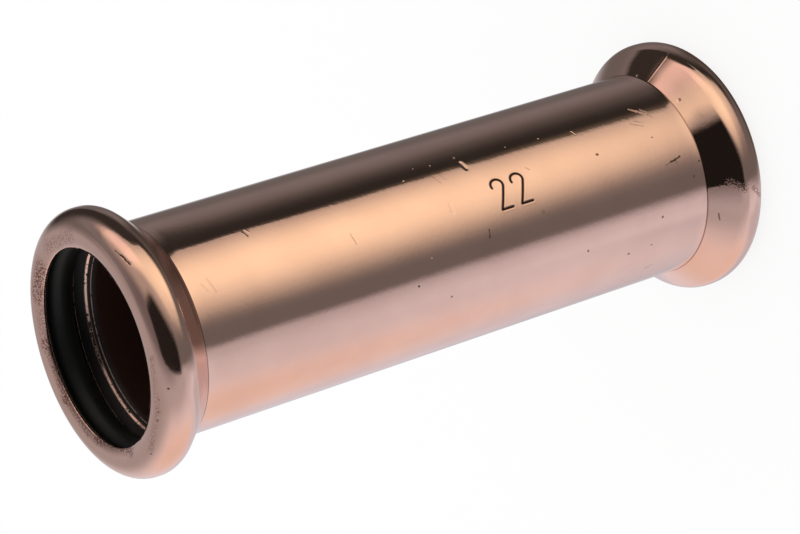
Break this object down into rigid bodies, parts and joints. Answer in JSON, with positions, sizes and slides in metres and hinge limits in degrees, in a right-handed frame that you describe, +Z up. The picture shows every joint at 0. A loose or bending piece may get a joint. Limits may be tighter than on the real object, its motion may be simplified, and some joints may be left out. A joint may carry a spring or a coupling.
{
  "type": "copper slip coupling",
  "caption": "Straight copper pipe coupling, open right through with no stop, with a rolled bead and a rubber sealing ring at each end, for joining or repairing copper pipe.",
  "frame": {"origin": "centre of the lower bead's rim, on the surface that the coupling stands on", "axes": "+Z up along the tube's axis; X and Y are any two directions across it"},
  "size_m": [0.0306, 0.0306, 0.084],
  "materials": {
    "copper": "polished copper, slightly satin, with fine scratches",
    "seal_rubber": "smooth black rubber, slightly satin"
  },
  "bodies": {
    "root": {"coupling_body": "copper", "lower_seal_ring": "seal_rubber", "upper_seal_ring": "seal_rubber"}
  },
  "joints": []
}
